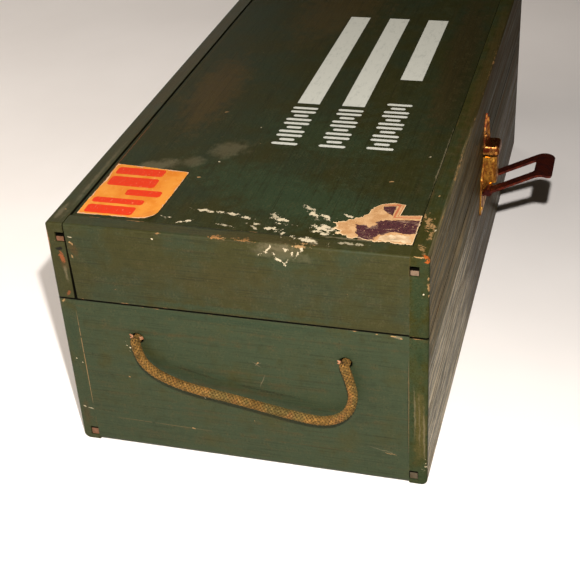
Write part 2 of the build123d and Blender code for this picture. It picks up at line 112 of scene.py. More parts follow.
def area_light(name, place, aim, size, watts, tint):
    """A square lamp at a place, turned towards a point."""
    data = bpy.data.lights.new(name, "AREA")
    data.size = size
    data.energy = watts
    data.color = tint
    lamp = placed(name, data)
    lamp.location = place
    lamp.rotation_mode = "QUATERNION"
    lamp.rotation_quaternion = (Vector(aim) - Vector(place)).to_track_quat("-Z", "Y")


def make_light():
    """A small lamp just above the camera, three large soft ones and an even warm sky."""
    right, up = camera_axes()
    place = CAMERA_PLACE + KEY_ABOVE * up + KEY_RIGHT * right
    area_light("key", place, *KEY_LAMP, WHITE_LIGHT)
    for lamp in SOFT_LAMPS:
        area_light(*lamp)
    world = bpy.data.worlds.new("studio")
    world.use_nodes = True
    sky = world.node_tree.nodes["Background"]
    sky.inputs["Color"].default_value = SKY_COLOUR
    sky.inputs["Strength"].default_value = SKY_STRENGTH
    bpy.context.scene.world = world
    bpy.context.scene.view_settings.view_transform = "Standard"


make_camera()
make_light()


# ---- node helpers ----
class Field:
    """A number or vector that varies over a surface, as one output of a material's nodes."""

    def __init__(self, tree, socket):
        self.tree = tree
        self.socket = socket

    def math(self, operation, *others):
        """A Math node's result with this field as its first value."""
        return add(self.tree, "Math", dict(enumerate((self, *others))), operation=operation)

    def __add__(self, other):
        return self.math("ADD", other)

    def __sub__(self, other):
        return self.math("SUBTRACT", other)

    def __mul__(self, other):
        return self.math("MULTIPLY", other)

    def ramp(self, low, high):
        """0 at low and 1 at high, smooth between; low may be the larger."""
        return add(self.tree, "MapRange", {"Value": self, "From Min": low, "From Max": high},
                   interpolation_type="SMOOTHSTEP")

    def least(self, other):
        return self.math("MINIMUM", other)

    def most(self, other):
        return self.math("MAXIMUM", other)

    def size(self):
        return self.math("ABSOLUTE")


def plug(tree, slot, value):
    """Give an input a constant, a colour, or a field."""
    if isinstance(value, Field):
        tree.links.new(value.socket, slot)
    elif isinstance(value, (tuple, list)) and slot.type == "RGBA":
        slot.default_value = (*value, 1.0)
    else:
        slot.default_value = value


def add(tree, kind, inputs=None, output=0, **options):
    """A new node with its options and then its inputs set, as the field of one output."""
    node = tree.nodes.new("ShaderNode" + kind)
    for name, value in options.items():
        setattr(node, name, value)
    for key, value in (inputs or {}).items():
        plug(tree, node.inputs[key], value)
    return Field(tree, node.outputs[output])


class Surface:
    """One material's nodes, in millimetres of the CAD frame."""

    def __init__(self, name):
        self.material = bpy.data.materials.new(name)
        self.material.use_nodes = True
        self.tree = self.material.node_tree
        place = add(self.tree, "TexCoord", output="Object")
        self.place = self.vector("SCALE", {0: place, "Scale": 1.0 / MM})
        self.x, self.y, self.z = self.split(self.place)

    def split(self, place):
        """The three numbers of a place."""
        return [add(self.tree, "SeparateXYZ", {0: place}, axis) for axis in range(3)]

    def vector(self, operation, inputs, output="Vector"):
        return add(self.tree, "VectorMath", inputs, output, operation=operation)

    def attribute(self, name):
        """A number stored on the mesh."""
        return add(self.tree, "Attribute", output="Fac", attribute_name=name)

    def noise(self, size, detail=3.0, roughness=0.55, shift=0.0, output="Fac"):
        """Noise from 0 to 1 about 0.5; size is its grain in mm, one number or one for each axis."""
        sizes = size if isinstance(size, tuple) else (size, size, size)
        place = self.vector("DIVIDE", {0: self.place, 1: sizes})
        place = self.vector("ADD", {0: place, 1: (shift, 2.3 * shift, 5.1 * shift)})
        return add(self.tree, "TexNoise", {"Vector": place, "Scale": 1.0, "Detail": detail,
                                           "Roughness": roughness}, output)

    def wobbled(self, size, reach, shift):
        """The place on the surface, moved about by noise by up to a reach in mm."""
        push = self.noise(size, 3.0, 0.6, shift, output="Color")
        push = self.vector("SUBTRACT", {0: push, 1: (0.5, 0.5, 0.5)})
        push = self.vector("SCALE", {0: push, "Scale": 2.0 * reach})
        return self.vector("ADD", {0: self.place, 1: push})

    def dots(self, size, radius, shift=0.0):
        """Small round dots, one in each cell of a size in mm, as 0 to 1."""
        place = self.vector("ADD", {0: self.place, 1: (shift, shift, shift)})
        away = add(self.tree, "TexVoronoi", {"Vector": place, "Scale": 1.0 / size}, "Distance")
        return away.ramp(radius / size, 0.3 * radius / size)

    def blot(self, centre, radii, turn, place):
        """1 at a centre, falling to 0 at the surface of an ellipsoid and below 0 outside it."""
        placed_in = {"Vector": place, "Location": centre, "Rotation": turn, "Scale": radii}
        place = add(self.tree, "Mapping", placed_in, vector_type="TEXTURE")
        return self.vector("LENGTH", {0: place}, "Value") * -1.0 + 1.0

    def mix(self, share, below, above):
        """A colour over another, where share goes from 0 to 1."""
        # A Mix node's colour sockets are its inputs 6 and 7 and its output 2.
        return add(self.tree, "Mix", {"Factor": share, 6: below, 7: above}, 2, data_type="RGBA")

    def layers(self, colour, *coats):
        """A colour under coats laid over it in turn, each a share and a colour."""
        for share, coat in coats:
            colour = self.mix(share, colour, coat)
        return colour

    def bump(self, height, distance, strength, **under):
        """Bump from a height field of a full depth in mm, over another bump given as Normal."""
        return add(self.tree, "Bump", {"Height": height, "Distance": distance * MM,
                                       "Strength": strength, **under})

    def set(self, **values):
        """Set the shader's inputs, such as Base_Color or Roughness."""
        shader = self.tree.nodes["Principled BSDF"]
        for name, value in values.items():
            plug(self.tree, shader.inputs[name.replace("_", " ")], value)
        return self.material


def dress(material, *nodes):
    """Give CAD nodes a material."""
    for name in nodes:
        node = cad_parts[name]
        node.data.materials.clear()
        node.data.materials.append(material)


def mesh_piece(name, verts, faces, material, smooth=True):
    """A new mesh object from vertices in metres."""
    mesh = bpy.data.meshes.new(name)
    mesh.from_pydata(verts, [], faces)
    mesh.materials.append(material)
    mesh.validate()
    mesh.shade_smooth() if smooth else mesh.shade_flat()
    return placed(name, mesh)


def store(piece, name, domain, values):
    """Keep a number for each face or point of a piece, for its material."""
    stored = piece.data.attributes.new(name, "FLOAT", domain)
    stored.data.foreach_set("value", values)


# ---- rope handles ----
ROPE_D = 4.5 * MM
ROPE_HOLE_Y = 47.3       # mm
ROPE_HOLE_Z = 62.6
# Hanging rope in mm: y, z and the distance out of the wall, from the back hole to the front hole.
ROPE_ROUTE = [
    (47.3, 62.6, 2.6), (46.6, 56.5, 2.9), (43.0, 50.3, 3.4), (34.5, 45.3, 4.0),
    (22.0, 41.8, 4.4), (5.0, 39.6, 4.6), (-12.0, 36.6, 4.6), (-27.0, 33.8, 4.5),
    (-39.5, 32.8, 4.3), (-48.4, 38.2, 4.0), (-51.4, 47.4, 3.5), (-49.7, 55.6, 3.0),
    (-47.3, 62.6, 2.6),
]
# The fixed rope behind each hole: distance in from the outer face, and two sideways distances.
KNOT_ROUTE = [
    (-2.6, 0.0, 0.0), (1.0, 0.0, 0.0), (4.5, 0.0, 0.0), (8.5, 0.1, 0.0),
    (12.5, 0.4, 0.2), (16.6, 1.2, 0.7), (18.0, 3.6, 0.8), (15.6, 4.7, -0.4),
    (12.6, 3.7, -2.6), (10.9, 0.4, -4.5), (10.5, -3.6, -2.7), (10.6, -4.3, 1.3),
    (11.6, -1.8, 4.3), (13.6, 2.2, 4.6), (16.4, 3.9, 4.4), (19.0, 1.2, 4.6),
    (21.4, -2.0, 3.8), (23.2, -3.6, 1.8),
]
CARRIERS = 12            # strands in the braid, half each way round
BRAID_R = 1.52 * MM      # middle radius of the braid
BRAID_WAVE = 0.24 * MM   # how far a strand rises over and dips under its neighbours
BRAID_PITCH = 10.0 * MM
BRAID_STEP = 0.45 * MM   # between the rings of a strand
STRAND_W = 0.62 * MM
STRAND_H = 0.47 * MM
KNOT_SQUEEZE = 0.96      # the rope in a knot is pulled this much thinner
FIBRES = 260             # how many stand off each handle
FIBRE_R = 0.035 * MM
YARN_R = 0.42 * MM
TUFT_SHADE = 2.0         # marks the pale frayed yarn at the holes
# Tufts beside the holes in mm: which hole, place from its centre, lean, strands and random seed.
TUFTS = (
    (1, (2.0, 1.4), (0.4, 0.5), 6, 70),
    (1, (-2.2, 1.0), (-0.4, 0.5), 6, 72),
    (-1, (2.2, 0.6), (0.4, 0.2), 7, 74),
)


def smooth_line(points, name):
    """The points of the NURBS curve that follows a route."""
    curve = bpy.data.curves.new(name, "CURVE")
    curve.dimensions = "3D"
    curve.resolution_u = 24
    spline = curve.splines.new("NURBS")
    spline.points.add(len(points) - 1)
    for control, point in zip(spline.points, points):
        control.co = (*point, 1.0)
    spline.order_u = 3
    spline.use_endpoint_u = True
    holder = bpy.data.objects.new(name, curve)
    mesh = bpy.data.meshes.new_from_object(holder)
    line = [v.co.copy() for v in mesh.vertices]
    bpy.data.objects.remove(holder)
    return line


def even_steps(line, step):
    """The same line with points a step apart."""
    made = [line[0].copy()]
    left = step
    for a, b in zip(line, line[1:]):
        run = (b - a).length
        at = left
        while at <= run:
            made.append(a.lerp(b, at / run))
            at += step
        left = at - run
    if (made[-1] - line[-1]).length > 0.3 * step:
        made.append(line[-1].copy())
    return made


def along_frames(line):
    """A tangent and two sideways directions at each point, turning as little as possible."""
    tangents = []
    for i in range(len(line)):
        ahead = line[min(i + 1, len(line) - 1)] - line[max(i - 1, 0)]
        tangents.append(ahead.normalized())
    side = tangents[0].orthogonal().normalized()
    frames = []
    for i, tangent in enumerate(tangents):
        if i:
            side = tangents[i - 1].rotation_difference(tangent) @ side
            side = (side - tangent * side.dot(tangent)).normalized()
        frames.append((tangent, side, tangent.cross(side)))
    return frames


class MeshBuilder:
    """Collects tubes into one mesh, with a shade for each tube and a crown for each vertex."""

    def __init__(self):
        self.verts = []
        self.faces = []
        self.shades = []
        self.crowns = []

    def tube(self, line, widths, heights, outward, sides, shade, crowns=None):
        """A closed tube of oval section; outward gives each ring's height direction."""
        frames = along_frames(line)
        start = len(self.verts)
        for i, centre in enumerate(line):
            tangent = frames[i][0]
            up = outward[i] - tangent * outward[i].dot(tangent) if outward else frames[i][1]
            up = up.normalized()
            across = tangent.cross(up)
            for k in range(sides):
                angle = 2 * math.pi * k / sides
                offset = across * (math.cos(angle) * widths[i])
                offset = offset + up * (math.sin(angle) * heights[i])
                self.verts.append(centre + offset)
                # A crown is 0 at a strand's sides and in its dips; the rope's material paints shade
                # there.
                self.crowns.append(crowns[i] * max(0.0, math.sin(angle)) if crowns else 1.0)
        for i in range(len(line) - 1):
            for k in range(sides):
                a = start + i * sides + k
                b = start + i * sides + (k + 1) % sides
                self.faces.append((a, b, b + sides, a + sides))
                self.shades.append(shade)
        last = start + (len(line) - 1) * sides
        self.faces.append(tuple(reversed(range(start, start + sides))))
        self.faces.append(tuple(range(last, last + sides)))
        self.shades += [shade, shade]

    def piece(self, name, material):
        made = mesh_piece(name, self.verts, self.faces, material)
        store(made, "shade", "FACE", self.shades)
        store(made, "crown", "POINT", self.crowns)
        return made


def braid(builder, line, seed, squeeze=1.0):
    """Braided rope along a line: strands each way round over a core, with rounded ends."""
    rng = random.Random(seed)
    line = even_steps(line, BRAID_STEP)
    frames = along_frames(line)
    radius = ROPE_D / 2
    last = len(line) - 1

    def shrink(i):
        """How much of the full radius the rope has near a rounded end."""
        share = 1.0
        for far in (i * BRAID_STEP, (last - i) * BRAID_STEP):
            if far < radius:
                share = min(share, math.sqrt(max(0.04, 1.0 - (1.0 - far / radius) ** 2)))
        return share * squeeze

    spacing = 2 * math.pi / (CARRIERS / 2)
    for k in range(CARRIERS):
        way = 1 if k % 2 else -1
        shade = rng.random()
        path, out, widths, heights, crowns = [], [], [], [], []
        for i, centre in enumerate(line):
            turned = 2 * math.pi * i * BRAID_STEP / BRAID_PITCH
            angle = way * turned + spacing * (k // 2)
            wave = way * math.cos(2 * math.pi * turned / spacing)
            share = shrink(i)
            direction = math.cos(angle) * frames[i][1] + math.sin(angle) * frames[i][2]
            path.append(centre + direction * share * (BRAID_R + BRAID_WAVE * wave))
            out.append(direction)
            widths.append(STRAND_W * share * rng.uniform(0.92, 1.06))
            heights.append(STRAND_H * share)
            crowns.append(0.5 + 0.5 * wave)
        builder.tube(path, widths, heights, out, 8, shade, crowns)
    # The core's crown of 0 gives it the rope's painted shade all over.
    core = [BRAID_R * 0.93 * shrink(i) for i in range(len(line))]
    builder.tube(line, core, core, None, 12, 0.0, [0.0] * len(line))


def lengthened(line, reach):
    """The line with a straight bit added at each end."""
    before = line[0] + (line[0] - line[1]).normalized() * reach
    after = line[-1] + (line[-1] - line[-2]).normalized() * reach
    return [before, *line, after]


def fuzz(builder, line, seed):
    """Short loose fibres that stand off the rope."""
    rng = random.Random(seed)
    line = even_steps(line, 0.5 * MM)
    frames = along_frames(line)
    for _ in range(FIBRES):
        i = rng.randrange(2, len(line) - 2)
        angle = rng.uniform(0, 2 * math.pi)
        tangent, side, other = frames[i]
        out = math.cos(angle) * side + math.sin(angle) * other
        lean = tangent * rng.uniform(-1.2, 1.2)
        curl = out.cross(tangent) * rng.uniform(-0.8, 0.8)
        length = rng.uniform(0.5, 1.3) * MM
        start = line[i] + out * (ROPE_D / 2 - 0.25 * MM)
        steps = [j / 3 for j in range(4)]
        path = [start + length * (t * (0.4 * out + lean) + t * t * curl) for t in steps]
        thin = [FIBRE_R * (1.0 - 0.6 * t) for t in steps]
        builder.tube(path, thin, thin, None, 3, rng.uniform(0.6, 1.0))


def tuft(builder, side, place, lean, count, seed):
    """Frayed yarn ends that lie on the face beside a rope hole."""
    rng = random.Random(seed)
    face = side * abs(END_X)
    steps = [j / 4 for j in range(5)]
    for _ in range(count):
        start_y = place[0] + rng.uniform(-0.6, 0.6)
        start_z = place[1] + rng.uniform(-0.7, 0.7)
        reach = rng.uniform(0.5, 1.1)
        bend_y = rng.uniform(-0.6, 0.6)
        bend_z = rng.uniform(-0.6, 0.6)
        path = []
        for t in steps:
            out = 0.35 + 0.9 * t * (1.0 - 0.6 * t)
            y = start_y + reach * t * lean[0] + bend_y * t * t
            z = start_z + reach * t * lean[1] + bend_z * t * t
            path.append(Vector((face + side * out * MM, y * MM, z * MM)))
        thick = [YARN_R * (1.0 - 0.3 * t) for t in steps]
        builder.tube(path, thick, thick, None, 5, TUFT_SHADE)


def rope_material():
    """Golden-brown cotton, greyed with age, with painted shade between the strands."""
    s = Surface("rope_cotton")
    shade = s.attribute("shade")
    fade = s.noise(11.0, 2.0) * 0.8 + s.noise(1.8, 3.0, shift=3.0) * 0.7 + shade.least(1.0) * 0.3
    frayed = s.noise(0.8, 2.0, shift=31.0).ramp(0.4, 0.6)
    frayed = s.mix(frayed, (0.20, 0.075, 0.030), (0.38, 0.19, 0.10))
    colour = s.layers(
        s.mix(fade.ramp(0.62, 1.25), (0.074, 0.041, 0.008), (0.215, 0.102, 0.022)),
        (s.noise(13.0, 2.0, shift=14.0).ramp(0.50, 0.66) * 0.6, (0.070, 0.058, 0.016)),
        (s.noise(10.0, 2.0, shift=23.0).ramp(0.54, 0.66) * 0.6, (0.150, 0.058, 0.014)),
        (s.noise(0.7, 2.0, shift=8.0).ramp(0.56, 0.75) * 0.45, (0.30, 0.19, 0.075)),
        # Painted shade in the crevices: dark where a strand dips under its neighbours, at its sides
        # and on the core.
        (s.attribute("crown").ramp(0.68, 0.12) * 0.88, (0.010, 0.005, 0.0015)),
        (s.noise(0.9, 2.0, shift=5.0).ramp(0.50, 0.34) * 0.6, (0.030, 0.018, 0.005)),
        (shade.ramp(1.4, 1.6), frayed),
    )
    normal = s.bump(s.noise(0.22, 3.0, shift=1.0), 0.10, 0.7)
    return s.set(Base_Color=colour, Roughness=0.85, Normal=normal, Specular_IOR_Level=0.10)


def make_ropes():
    """The two hanging handles, and the fixed rope with its knot behind each hole."""
    material = rope_material()
    for side, name in ((-1, "left"), (1, "right")):
        face = side * abs(END_X)
        route = [(face + side * out * MM, y * MM, z * MM) for y, z, out in ROPE_ROUTE]
        line = smooth_line(route, name + "_rope_line")
        builder = MeshBuilder()
        braid(builder, lengthened(line, ROPE_D / 2), 10 + side)
        fuzz(builder, line, 30 + side)
        rope = builder.piece(name + "_rope_braid", material)
        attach(rope, name + "_handle")
        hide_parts(name + "_rope_handle")

        ends = MeshBuilder()
        for flip in (1, -1):
            inside = [(face - side * a * MM, flip * (ROPE_HOLE_Y + b) * MM, (ROPE_HOLE_Z + c) * MM)
                      for a, b, c in KNOT_ROUTE]
            braid(ends, smooth_line(inside, name + "_knot_line"), 50 + side + flip, KNOT_SQUEEZE)
        for flip, (y, z), lean, count, seed in TUFTS:
            place = (flip * ROPE_HOLE_Y + y, ROPE_HOLE_Z + z)
            tuft(ends, side, place, lean, count, seed + side)
        knots = ends.piece(name + "_rope_knot_braid", material)
        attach(knots, "base")
        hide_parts(name + "_rope_knots")


make_ropes()


# ---- floor ----
FLOOR_R = 30.0
FLOOR_SIDES = 96


def make_floor():
    """Plain pale table top with the faintest unevenness."""
    s = Surface("pale_floor")
    colour = s.mix(s.noise(140.0).ramp(0.3, 0.7), (0.86, 0.79, 0.73), (0.90, 0.83, 0.77))
    material = s.set(Base_Color=colour, Roughness=0.6, Specular_IOR_Level=0.2)
    angles = [2 * math.pi * k / FLOOR_SIDES for k in range(FLOOR_SIDES)]
    ring = [(FLOOR_R * math.cos(angle), FLOOR_R * math.sin(angle), 0.0) for angle in angles]
    floor = mesh_piece("floor", ring, [tuple(range(FLOOR_SIDES))], material, smooth=False)


make_floor()


# ---- painted wood ----
OLIVE = (0.0310, 0.0282, 0.0060)
BLUE_GREEN = (0.0232, 0.0318, 0.0136)
DEEP_GREEN = (0.0175, 0.0285, 0.0125)
DARK_OLIVE = (0.009, 0.009, 0.003)
LIGHT_OLIVE = (0.048, 0.044, 0.017)
BROWNED = (0.040, 0.025, 0.007)
# Bleached grey wood, made brighter to paint in sheen and light bounced from the floor.
GREYED_AND_SHEEN = (0.520, 0.430, 0.290)
FRONT_BROWN = (0.235, 0.170, 0.082)
FRONT_DARK = (0.078, 0.062, 0.032)
# Painted shade for the far end of the front.
FAR_SHADE_BROWN = (0.056, 0.029, 0.009)
SCRATCHED = (0.60, 0.52, 0.38)
OCHRE = (0.052, 0.042, 0.012)
BARE = (0.20, 0.090, 0.028)
BARE_DARK = (0.13, 0.060, 0.022)
TAN = (0.26, 0.145, 0.058)
DUSTY = (0.12, 0.095, 0.052)
CREAM = (0.42, 0.340, 0.220)
RED_RUST = (0.17, 0.045, 0.013)
BRIGHT_RUST = (0.24, 0.055, 0.010)
# Near black: dirt specks, and painted shade in the slits, grooves and seams.
GRIME_AND_SHADE = (0.003, 0.0025, 0.0015)
WHITE_PAINT = (0.44, 0.425, 0.360)
WHITE_DIRTY = (0.27, 0.27, 0.23)
RAW_WOOD = (0.40, 0.26, 0.13)
RAW_PALE = (0.56, 0.40, 0.23)
RAW_DARK = (0.33, 0.20, 0.10)

# The box's outer faces in mm; the box is centred on x and y.
END_FACE = END_X / MM
HALF_LENGTH = abs(END_FACE)
FRONT_FACE = FRONT_Y / MM
HALF_WIDTH = BACK_Y / MM
TOP_FACE = TOP_Z / MM
JOINT = JOINT_Y / MM
MARK_DEPTH = 4.0         # marks reach this far into the board, in mm

# The colour of each kind of mark. The under-marks tint the paint before its grain and grime, and
# the over-marks lie on top of it, each in this order.
UNDER_MARKS = {"brown": BROWNED, "ochre": OCHRE, "blue": DEEP_GREEN, "dark": DARK_OLIVE}
OVER_MARKS = {"dusty": DUSTY, "bare": BARE, "tan": TAN, "line": TAN, "chips": TAN,
              "red": RED_RUST, "rust": BRIGHT_RUST, "cream": CREAM, "flakes": CREAM,
              "grime": GRIME_AND_SHADE}
SOFT_MARKS = (*UNDER_MARKS, "dusty")
FLAKED_MARKS = ("flakes", "chips", "rust")

# Marks on each board by face and kind. A mark is the two numbers of its start, those of its end,
# its half width and its strength. On the end the numbers are y and z, on the top x from the near
# end and y, and on the front x from the near end and z, all in mm.
BOARD_MARKS = {}
BOARD_MARKS["lid_left_end"] = {
    ("end", "brown"): [(-60, 96, 60, 99, 13, 0.14), (72, 110, 70, 103, 2.4, 0.9)],
    ("end", "blue"): [(-42, 112, -8, 110, 7, 0.4), (-60, 83, 66, 83, 2.2, 0.7)],
    ("end", "dusty"): [(-10, 117, -32, 116, 2.6, 0.45), (-9, 114.6, -33, 114, 4.4, 0.28)],
    ("end", "flakes"): [(-11.4, 112.3, -15.6, 114.6, 0.9, 0.75),
        (-15.6, 114.4, -17.9, 117.6, 0.9, 0.8), (-18.2, 116, -19.3, 111.5, 0.9, 0.85),
        (-19.3, 111.9, -23, 109.5, 0.9, 0.85), (-23, 109.5, -26.1, 112.9, 0.9, 0.8),
        (-26.1, 112, -27.1, 117.4, 1.2, 0.9), (-27.4, 113, -31.8, 118.4, 0.8, 0.75),
        (-22.9, 116.4, -24.8, 116.2, 1, 0.8)],
    ("end", "bare"): [(10, 118.3, 2, 118.3, 0.45, 0.9), (0, 118.4, -12, 118.4, 0.22, 0.6)],
    ("end", "chips"): [(-25, 118.3, -36, 118.3, 1.1, 0.8)],
    ("end", "tan"): [(72.6, 110.2, 70.6, 108.6, 0.6, 0.75), (72.3, 103.5, 71.6, 102, 0.5, 0.6)],
    ("end", "cream"): [(33.9, 115.3, 33.6, 115.2, 0.45, 1), (73, 112.6, 70.8, 112.3, 0.35, 0.7)],
    ("top", "dusty"): [(7, -31, 3.4, -35, 2.2, 0.7)],
    ("top", "flakes"): [(6.9, -22.7, 3.8, -38.6, 2.6, 1), (5.9, -44.7, 4.8, -56.6, 1.6, 0.5)],
    ("top", "chips"): [(1.4, 9, 1, -2, 0.9, 0.7), (2.8, -26, 1.6, -37, 2, 1)],
    ("top", "brown"): [(4, -70, 4, 70, 4, 0.35)],
    ("top", "dark"): [(7.6, -74, 7.6, 74, 0.9, 0.9)],
}
BOARD_MARKS["lid_front_rail"] = {
    ("top", "brown"): [(60, -80, 330, -80, 5, 0.7)],
    ("top", "chips"): [(48, -81.9, 117, -81.9, 0.5, 0.4), (150, -81.9, 240, -81.9, 0.4, 0.3),
        (20, -79, 34, -76, 2.6, 0.8), (24, -80.6, 14, -79.6, 1.6, 0.6),
        (10, -77, 3, -80, 1.8, 0.6)],
    ("top", "rust"): [(0.4, -82, 1.6, -80.2, 1.4, 1)],
    ("end", "rust"): [(-81.9, 118.4, -81, 116.6, 1.2, 1)],
    ("top", "tan"): [(0.5, -80.6, 0.8, -75.5, 0.4, 0.9), (33.7, -74.8, 31, -75.6, 0.55, 0.7),
        (51.7, -78.1, 50, -77.6, 0.5, 0.7)],
    ("top", "cream"): [(22.4, -81.4, 21, -80.8, 0.4, 0.7)],
    ("end", "cream"): [(-80.2, 101.8, -80.2, 101.4, 0.42, 1)],
    ("end", "chips"): [(-82, 109, -82.3, 100, 0.7, 0.7)],
    ("end", "blue"): [(-78, 116, -78, 84, 4.5, 0.75)],
    ("front", "tan"): [(13.7, 99.4, 12.4, 98, 0.5, 0.8), (30, 115.2, 110, 115.6, 0.3, 0.25)],
    ("front", "brown"): [(30, 104, 150, 105, 5, 0.8)],
}
BOARD_MARKS["lid_back_rail"] = {
    ("end", "grime"): [(76.2, 106.4, 78.6, 106, 1.3, 0.9)],
    ("end", "red"): [(77.6, 104.4, 76.6, 99.4, 1.5, 0.8), (76, 84.4, 77.8, 82.1, 0.9, 0.6)],
    ("end", "brown"): [(76.6, 101, 76.4, 96, 2.4, 0.9)],
    ("end", "dusty"): [(76.8, 96.4, 76, 90, 1.4, 0.6)],
    ("end", "bare"): [(82, 116, 81.9, 104, 0.45, 0.8)],
    ("top", "dusty"): [(3, 79.5, 18, 79, 1.6, 0.45), (2, 76.4, 90, 76.6, 1.2, 0.35)],
    ("top", "brown"): [(20, 78, 330, 78, 4, 0.6)],
    ("top", "tan"): [(12, 77.6, 13, 78.4, 0.5, 0.6)],
}
BOARD_MARKS["lid_top_panel"] = {
    ("top", "blue"): [(20, -60, 60, 30, 26, 0.8), (90, -40, 110, 10, 24, 0.55)],
    ("top", "brown"): [(95, 50, 190, 55, 19, 0.95), (90, -66, 320, -62, 11, 0.9),
        (220, 20, 330, 10, 34, 0.7), (12, 71.6, 330, 71.7, 0.45, 0.9)],
    ("top", "dark"): [(70, -72, 330, -60, 15, 0.6)],
    ("top", "dusty"): [(54, 62, 62, 44, 7, 0.45), (76, 28, 82, 22, 10, 0.32),
        (63, 40, 66, 36, 6, 0.3), (9.4, -32, 9, -66, 1, 0.6), (46, -74, 120, -74, 0.5, 0.7)],
    ("top", "red"): [(14, 71.8, 120, 71.8, 0.22, 0.65)],
    ("top", "flakes"): [(14, 34.6, 13.1, 28.4, 1.1, 1), (10.2, 25.8, 12.2, 21.4, 1.3, 1),
        (22.2, 23.6, 21.2, 12, 1.4, 0.9), (21.6, 12, 20.2, 1, 1.6, 0.9),
        (20, 1, 18.6, -4.4, 1.8, 0.95), (25.6, -11, 20, -16, 2, 0.7),
        (14.1, -5.4, 14.5, -9.6, 1.2, 0.8), (19.8, -13.8, 18.6, -20.4, 1.9, 1),
        (16.8, -15.4, 16.2, -21.6, 1.7, 1), (12, -12.8, 11, -18.4, 1.8, 0.95),
        (9.8, -17, 9.2, -21.2, 1.4, 0.9), (28.6, -27.6, 23.6, -31.6, 2.5, 1),
        (32.8, -24.6, 29, -28, 1.9, 0.8), (26.8, -33.4, 22.6, -37.6, 2.3, 1),
        (16.6, -31.6, 15, -41, 3.2, 1), (12.8, -33, 11.2, -41, 2, 1),
        (28.6, -42, 26.4, -46, 1.1, 0.9), (14.6, -3, 10, -9, 1, 0.7), (12, 10, 9.8, -2, 1, 0.6)],
    ("top", "cream"): [(66, 26, 66.4, 25.6, 0.5, 0.9), (104, 17, 104.4, 16.8, 0.55, 0.7),
        (86, -68, 86.4, -68.4, 0.5, 0.6)],
    ("top", "tan"): [(50, 30.4, 50.3, 29.9, 0.7, 0.9), (118, 40, 119, 38, 0.8, 0.6),
        (60, -55, 60.5, -56, 0.6, 0.9)],
}
BOARD_MARKS["base_left_end"] = {
    ("end", "blue"): [(-70, 77.5, 70, 77.5, 2.6, 0.9), (30, 52, -10, 41.5, 1.4, 0.6),
        (-10, 41.5, -40, 39, 1.3, 0.6)],
    ("end", "dark"): [(36, 51, 8, 44.4, 0.9, 0.6), (8, 44.4, -30, 39.8, 0.9, 0.6),
        (-73.9, 79, -73.9, 4, 0.4, 0.6)],
    ("end", "dusty"): [(-66, 79.4, -72, 79, 0.9, 0.8), (-4.6, 58.4, -9.8, 54.8, 0.22, 0.6),
        (-10.6, 58.2, -5.6, 55.2, 0.22, 0.6), (-11.4, 52.1, -7.6, 43, 0.26, 0.6),
        (-52, 19.4, -72.9, 15.2, 0.24, 0.6)],
    ("end", "tan"): [(-60.6, 79.5, -61.4, 79.4, 0.3, 0.9), (-66, 79.6, -69.3, 79.4, 0.42, 1),
        (-70.6, 78.9, -71.6, 78.6, 0.42, 0.9), (-7.4, 56.6, -8.4, 57.4, 0.4, 0.8),
        (-63, 16.2, -69.4, 15.4, 0.32, 0.5), (26.8, 15.4, 24.6, 14.8, 0.4, 0.8),
        (54, 40.6, 53.7, 40.4, 0.45, 0.8)],
    ("end", "line"): [(73.6, 15.6, 10, 14.8, 0.2, 0.2), (-74.2, 74, -74.3, 12, 0.18, 0.24)],
    ("end", "brown"): [(10, 14.8, -72, 13.6, 0.3, 0.75)],
    ("end", "cream"): [(51.6, 57.4, 51.2, 57, 0.42, 0.9), (52.9, 58.2, 52.6, 58.1, 0.3, 0.8),
        (50.6, 55.8, 50.2, 55.4, 0.32, 0.8), (53.4, 60.4, 53.3, 60, 0.2, 0.6),
        (51.9, 55.2, 51.7, 54.9, 0.2, 0.6), (18.4, 34.2, 18, 33.8, 0.4, 0.6)],
}
BOARD_MARKS["base_front_board"] = {
    ("end", "blue"): [(-79, 76, -79, 64, 3, 0.8)],
    ("end", "dusty"): [(-76.4, 62, -77.2, 20, 0.5, 0.45), (-78.6, 56, -79.4, 12, 0.4, 0.4),
        (-80.6, 50, -81.4, 10, 0.6, 0.5)],
    ("end", "ochre"): [(-79, 58, -79.4, 8, 4.2, 0.95)],
    ("end", "flakes"): [(-82.2, 15, -81.4, 8, 1.3, 0.9)],
    ("front", "tan"): [(13.7, 67.4, 14.6, 67.2, 0.45, 0.9), (19.5, 59.7, 20.6, 59.7, 0.4, 0.9),
        (18.6, 70.8, 19.6, 70.8, 0.4, 0.7)],
    ("front", "cream"): [(9.7, 53, 10.6, 53, 0.4, 0.8), (70.7, 54.6, 72.4, 54.6, 0.4, 0.8),
        (20.8, 75.5, 22, 75.6, 0.35, 0.7)],
}
BOARD_MARKS["base_back_board"] = {
    ("end", "blue"): [(78, 76, 78.6, 50, 3.2, 0.6)],
    ("end", "tan"): [(79.4, 79.6, 80.6, 78.6, 0.8, 0.8)],
    ("end", "line"): [(74.9, 80, 74.8, 14, 0.22, 0.55)],
    ("end", "cream"): [(79, 47.5, 78.8, 47.2, 0.4, 0.9), (76.5, 45.6, 76.3, 45.4, 0.34, 0.8),
        (80.2, 19.8, 78.4, 19.2, 0.45, 0.6), (77.4, 19, 75.4, 18.6, 0.4, 0.6)],
    ("end", "brown"): [(79, 24, 79, 8, 2.4, 0.6)],
}
# How far each board's paint leans from olive (-) to blue-green (+).
BOARD_TONES = {
    "lid_left_end": -0.05,
    "lid_right_end": -0.05,
    "lid_top_panel": -0.02,
    "lid_front_rail": -0.04,
    "lid_back_rail": -0.08,
    "base_left_end": 0.09,
    "base_right_end": 0.09,
    "base_front_board": 0.08,
    "base_back_board": 0.04,
}
LONG_FRONTS = ("lid_front_rail", "base_front_board")
